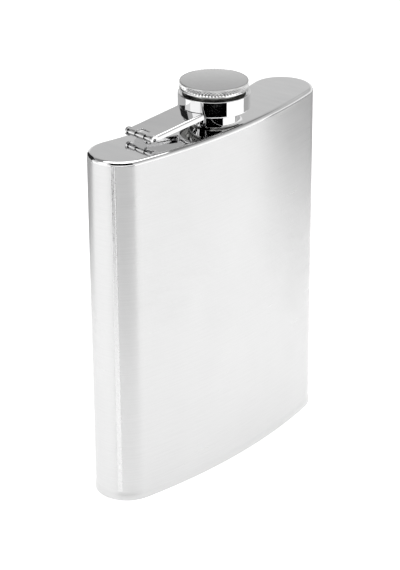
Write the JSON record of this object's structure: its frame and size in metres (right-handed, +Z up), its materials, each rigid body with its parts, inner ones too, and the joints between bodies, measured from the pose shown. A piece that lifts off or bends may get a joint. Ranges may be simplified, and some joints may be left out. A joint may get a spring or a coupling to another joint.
{
  "type": "hip flask",
  "caption": "Curved stainless steel pocket flask with a threaded neck and a knurled screw cap held captive by a hinged arm.",
  "frame": {"origin": "on the neck's axis, on the plane that the flask stands on", "axes": "+Z up along the neck, +X along the flask's width away from the cap's hinge, -Y out of the convex front"},
  "size_m": [0.0954, 0.025, 0.1247],
  "materials": {
    "brushed_wall": "satin, brushed across the flask",
    "weld": "rippled weld bead",
    "polished_top": "polished to a soft mirror",
    "polished_fitting": "polished",
    "satin_cap": "satin, knurled round its edge",
    "insert": "polished",
    "pin": "plain",
    "gasket": "soft sealing plastic"
  },
  "bodies": {
    "flask": {"body_wall": "brushed_wall", "side_seam_weld": "weld", "top_plate": "polished_top", "base_plate": "brushed_wall", "threaded_neck": "polished_fitting", "neck_weld": "weld", "hinge_bracket": "polished_fitting"},
    "arm": {"captive_arm": "polished_fitting", "cap_collar": "polished_fitting", "hinge_pin": "pin"},
    "seal": {"cap_gasket": "gasket"},
    "cap": {"threaded_insert": "insert", "cap_head": "satin_cap"}
  },
  "joints": [
    {"name": "arm_hinge", "type": "hinge", "parent": "flask", "child": "arm", "pos_m": [-0.029, 0.00341, 0.11403], "axis": [-0.1167, -0.9932, 0], "range_deg": [0, 165]},
    {"name": "cap_lift", "type": "slide", "parent": "arm", "child": "seal", "axis": [0, 0, 1], "range_m": [0, 0.0027]},
    {"name": "cap_turn", "type": "hinge", "parent": "seal", "child": "cap", "pos_m": [0, 0, 0.1162], "axis": [0, 0, 1], "range_deg": [0, 540]}
  ],
  "couplings": [
    {"joint": "cap_lift", "follows": "cap_turn", "m_per_rad": 0.00028647}
  ]
}
